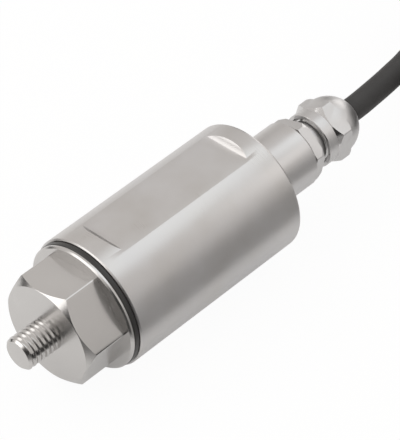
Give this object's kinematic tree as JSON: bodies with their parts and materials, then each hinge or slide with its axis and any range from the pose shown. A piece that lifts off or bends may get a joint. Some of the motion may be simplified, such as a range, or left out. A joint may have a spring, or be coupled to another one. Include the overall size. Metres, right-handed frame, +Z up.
{
  "type": "vibration sensor",
  "caption": "Stainless-steel vibration sensor with a threaded mounting stud, a round housing with a marking flat, and a black lead in a domed cable gland.",
  "frame": {"origin": "centre of the mounting face, where the stud leaves the hexagon", "axes": "+X along the sensor's axis from the stud towards the lead, +Z up through the marking flat, the sensor lying on its round housing"},
  "size_m": [0.2365, 0.0564, 0.032],
  "materials": {
    "base_steel": "satin turned",
    "housing_steel": "satin turned",
    "gland_steel": "satin",
    "seal_rubber": "matte",
    "white_ceramic": "matte",
    "piezo_ceramic": "matte",
    "contact_brass": "satin",
    "mass_metal": "satin",
    "screw_steel": "satin",
    "tinned_steel": "tinned",
    "red_insulation": "smooth",
    "carrier_plastic": "moulded",
    "board_green": "solder resist",
    "chip_black": "moulded",
    "capacitor_metal": "smooth",
    "terminal_green": "moulded",
    "cable_jacket": "matte",
    "strap_fabric": "woven",
    "sleeve_black": "shrink sleeve",
    "core_brown_skin": "smooth",
    "core_white_skin": "smooth",
    "core_blue_skin": "smooth",
    "core_black_skin": "smooth"
  },
  "bodies": {
    "root": {"mounting_base": "base_steel", "base_seal_ring": "seal_rubber", "housing": "housing_steel", "insulating_disc": "white_ceramic", "piezo_ring_front": "piezo_ceramic", "electrode_disc": "contact_brass", "piezo_ring_rear": "piezo_ceramic", "seismic_mass": "mass_metal", "spring_washer": "screw_steel", "preload_screw": "screw_steel", "shield_can": "tinned_steel", "sensor_lead": "red_insulation", "board_carrier": "carrier_plastic", "circuit_board": "board_green", "board_chips": "chip_black", "board_capacitors": "capacitor_metal", "terminal_block": "terminal_green", "board_screws": "screw_steel", "inner_cores": "core_brown_skin", "gland_o_ring": "seal_rubber", "gland_body": "gland_steel", "gland_seal_insert": "seal_rubber", "gland_clamp_cage": "carrier_plastic", "gland_dome_nut": "gland_steel", "cable_in_gland": "cable_jacket", "cable": "cable_jacket", "cable_hank": "cable_jacket", "hank_ties": "strap_fabric", "lead_end_sleeve": "sleeve_black", "core_brown": "core_brown_skin", "core_white": "core_white_skin", "core_blue": "core_blue_skin", "core_black": "core_black_skin", "core_ferrules": "tinned_steel"}
  },
  "joints": []
}
